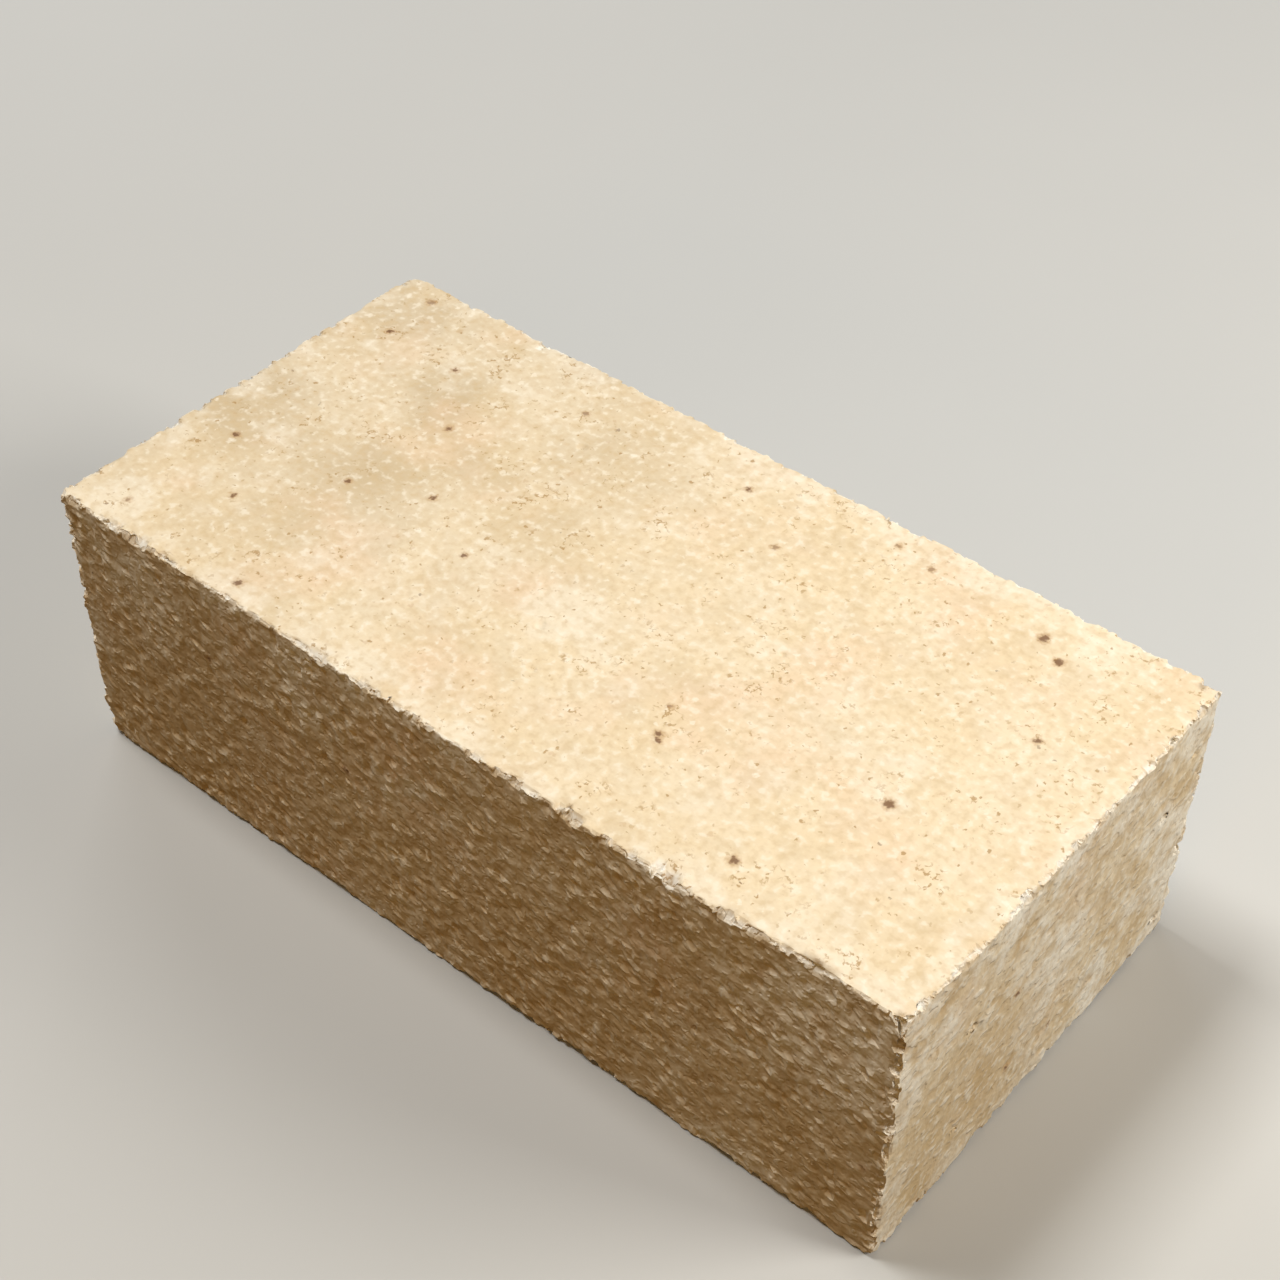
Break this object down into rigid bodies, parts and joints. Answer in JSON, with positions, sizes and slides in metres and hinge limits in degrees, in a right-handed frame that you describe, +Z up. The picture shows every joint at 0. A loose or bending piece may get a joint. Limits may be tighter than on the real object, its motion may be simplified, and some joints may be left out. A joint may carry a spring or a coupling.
{
  "type": "fireclay brick",
  "caption": "Solid rectangular fireclay brick with rubbed, chipped arrises and worn corners, laid in mortar as a course unit of a hot-face lining or hearth.",
  "frame": {"origin": "middle of the lower bed face, which is the face the brick lies on", "axes": "+X along the length, towards the header face on the right of the picture; +Y across the width, away from the stretcher face that the picture shows; +Z up, out of the upper bed face"},
  "size_m": [0.23, 0.114, 0.075],
  "materials": {
    "fired_clay": "matte"
  },
  "bodies": {
    "root": {"brick": "fired_clay"}
  },
  "joints": []
}
